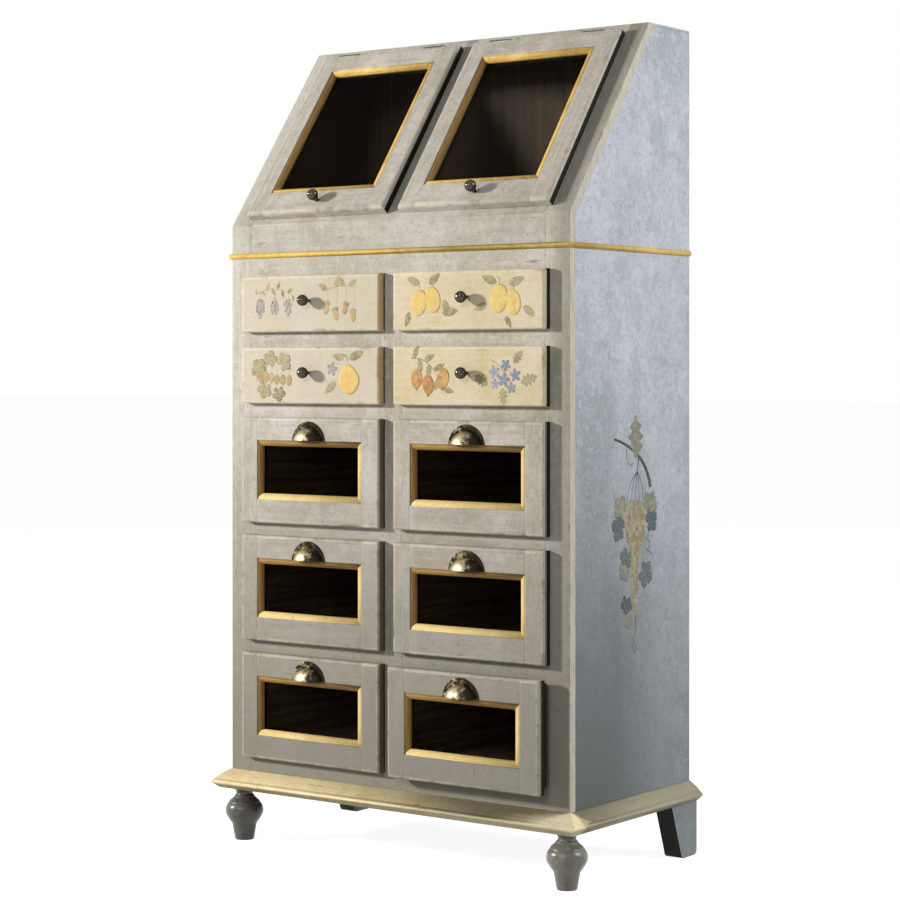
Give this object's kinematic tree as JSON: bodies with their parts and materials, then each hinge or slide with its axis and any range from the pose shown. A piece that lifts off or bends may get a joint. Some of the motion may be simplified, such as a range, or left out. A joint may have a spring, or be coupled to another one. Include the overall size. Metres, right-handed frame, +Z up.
{
  "type": "pantry cupboard",
  "caption": "Country pantry cupboard: glazed lift-up flaps on a sloped top, small painted drawers over glazed drawers, moulded base, turned front feet.",
  "frame": {"origin": "on the floor, in the middle of the width and of the whole depth, from the foremost cup pull to the back", "axes": "+Z up, +X to the right seen from the front, +Y from the front to the back"},
  "size_m": [0.966, 0.5359, 1.777],
  "materials": {
    "blue_grey_paint": "aged matt paint on wood, clouded blue grey",
    "grey_paint": "aged matt paint on wood, warm grey, rubbed at the edges",
    "cream_paint": "aged cream paint on wood, rubbed at the edges",
    "ochre_paint": "ochre paint on wood, rubbed at the edges",
    "bare_wood": "dark stained wood",
    "brass": "aged brass",
    "dark_bronze": "dark bronze",
    "hinge_metal": "painted over with the frame",
    "glass": "clear glass"
  },
  "bodies": {
    "cabinet": {"side_panel_left": "blue_grey_paint", "side_panel_right": "blue_grey_paint", "back_panel": "bare_wood", "top_board": "blue_grey_paint", "bottom_board": "bare_wood", "base_moulding": "cream_paint", "waist_bead": "ochre_paint", "face_frame": "grey_paint", "inner_boards": "bare_wood", "front_feet": "blue_grey_paint", "back_feet": "blue_grey_paint", "flap_hinge_fixed_leaves": "hinge_metal"},
    "glazed_bottom_left": {"glazed_bottom_left_front": "grey_paint", "glazed_bottom_left_box": "bare_wood", "glazed_bottom_left_moulding": "ochre_paint", "glazed_bottom_left_glass": "glass", "glazed_bottom_left_cup_pull": "brass"},
    "glazed_bottom_right": {"glazed_bottom_right_front": "grey_paint", "glazed_bottom_right_box": "bare_wood", "glazed_bottom_right_moulding": "ochre_paint", "glazed_bottom_right_glass": "glass", "glazed_bottom_right_cup_pull": "brass"},
    "glazed_middle_left": {"glazed_middle_left_front": "grey_paint", "glazed_middle_left_box": "bare_wood", "glazed_middle_left_moulding": "ochre_paint", "glazed_middle_left_glass": "glass", "glazed_middle_left_cup_pull": "brass"},
    "glazed_middle_right": {"glazed_middle_right_front": "grey_paint", "glazed_middle_right_box": "bare_wood", "glazed_middle_right_moulding": "ochre_paint", "glazed_middle_right_glass": "glass", "glazed_middle_right_cup_pull": "brass"},
    "glazed_upper_left": {"glazed_upper_left_front": "grey_paint", "glazed_upper_left_box": "bare_wood", "glazed_upper_left_moulding": "ochre_paint", "glazed_upper_left_glass": "glass", "glazed_upper_left_cup_pull": "brass"},
    "glazed_upper_right": {"glazed_upper_right_front": "grey_paint", "glazed_upper_right_box": "bare_wood", "glazed_upper_right_moulding": "ochre_paint", "glazed_upper_right_glass": "glass", "glazed_upper_right_cup_pull": "brass"},
    "painted_lower_left": {"painted_lower_left_box": "cream_paint", "painted_lower_left_knob": "dark_bronze"},
    "painted_lower_right": {"painted_lower_right_box": "cream_paint", "painted_lower_right_knob": "dark_bronze"},
    "painted_top_left": {"painted_top_left_box": "cream_paint", "painted_top_left_knob": "dark_bronze"},
    "painted_top_right": {"painted_top_right_box": "cream_paint", "painted_top_right_knob": "dark_bronze"},
    "flap_left": {"flap_left_frame": "grey_paint", "flap_left_moulding": "ochre_paint", "flap_left_glass": "glass", "flap_left_knob": "dark_bronze", "flap_left_hinge_leaves": "hinge_metal"},
    "flap_right": {"flap_right_frame": "grey_paint", "flap_right_moulding": "ochre_paint", "flap_right_glass": "glass", "flap_right_knob": "dark_bronze", "flap_right_hinge_leaves": "hinge_metal"}
  },
  "joints": [
    {"name": "glazed_bottom_left_slide", "type": "slide", "parent": "cabinet", "child": "glazed_bottom_left", "axis": [0, -1, 0], "range_m": [0, 0.3]},
    {"name": "glazed_bottom_right_slide", "type": "slide", "parent": "cabinet", "child": "glazed_bottom_right", "axis": [0, -1, 0], "range_m": [-0.0197, 0.2803]},
    {"name": "glazed_middle_left_slide", "type": "slide", "parent": "cabinet", "child": "glazed_middle_left", "axis": [0, -1, 0], "range_m": [0, 0.3]},
    {"name": "glazed_middle_right_slide", "type": "slide", "parent": "cabinet", "child": "glazed_middle_right", "axis": [0, -1, 0], "range_m": [0, 0.3]},
    {"name": "glazed_upper_left_slide", "type": "slide", "parent": "cabinet", "child": "glazed_upper_left", "axis": [0, -1, 0], "range_m": [0, 0.3]},
    {"name": "glazed_upper_right_slide", "type": "slide", "parent": "cabinet", "child": "glazed_upper_right", "axis": [0, -1, 0], "range_m": [0, 0.3]},
    {"name": "painted_lower_left_slide", "type": "slide", "parent": "cabinet", "child": "painted_lower_left", "axis": [0, -1, 0], "range_m": [0, 0.3]},
    {"name": "painted_lower_right_slide", "type": "slide", "parent": "cabinet", "child": "painted_lower_right", "axis": [0, -1, 0], "range_m": [0, 0.3]},
    {"name": "painted_top_left_slide", "type": "slide", "parent": "cabinet", "child": "painted_top_left", "axis": [0, -1, 0], "range_m": [0, 0.3]},
    {"name": "painted_top_right_slide", "type": "slide", "parent": "cabinet", "child": "painted_top_right", "axis": [0, -1, 0], "range_m": [0, 0.3]},
    {"name": "flap_left_hinge", "type": "hinge", "parent": "cabinet", "child": "flap_left", "pos_m": [-0.2105, 0.08279, 1.75944], "axis": [-1, 0, 0], "range_deg": [0, 100]},
    {"name": "flap_right_hinge", "type": "hinge", "parent": "cabinet", "child": "flap_right", "pos_m": [0.2105, 0.08279, 1.75944], "axis": [-1, 0, 0], "range_deg": [0, 100]}
  ]
}
